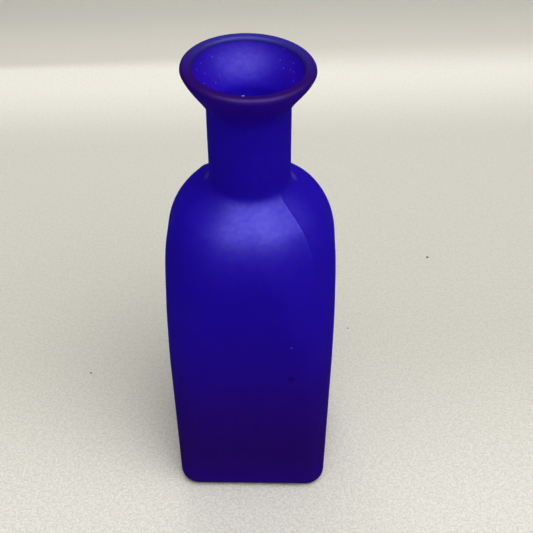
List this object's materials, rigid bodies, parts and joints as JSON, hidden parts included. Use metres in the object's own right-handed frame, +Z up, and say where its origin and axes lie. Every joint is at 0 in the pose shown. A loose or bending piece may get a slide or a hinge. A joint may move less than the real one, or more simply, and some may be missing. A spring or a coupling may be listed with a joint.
{
  "type": "glass bottle",
  "caption": "Square satin-glass bottle with soft upright corners, a domed shoulder, a straight round neck and a flared lip around an open mouth.",
  "frame": {"origin": "middle of the foot, on the plane that the bottle stands on", "axes": "+Z up the bottle's axis towards the mouth; X and Y square to the flat sides, with -Y the front side"},
  "size_m": [0.0694, 0.0694, 0.2035],
  "materials": {
    "satin_glass": "deep cobalt blue, acid-etched satin, not see-through"
  },
  "bodies": {
    "root": {"base": "satin_glass", "body": "satin_glass", "shoulder": "satin_glass", "neck": "satin_glass", "lip": "satin_glass"}
  },
  "joints": []
}
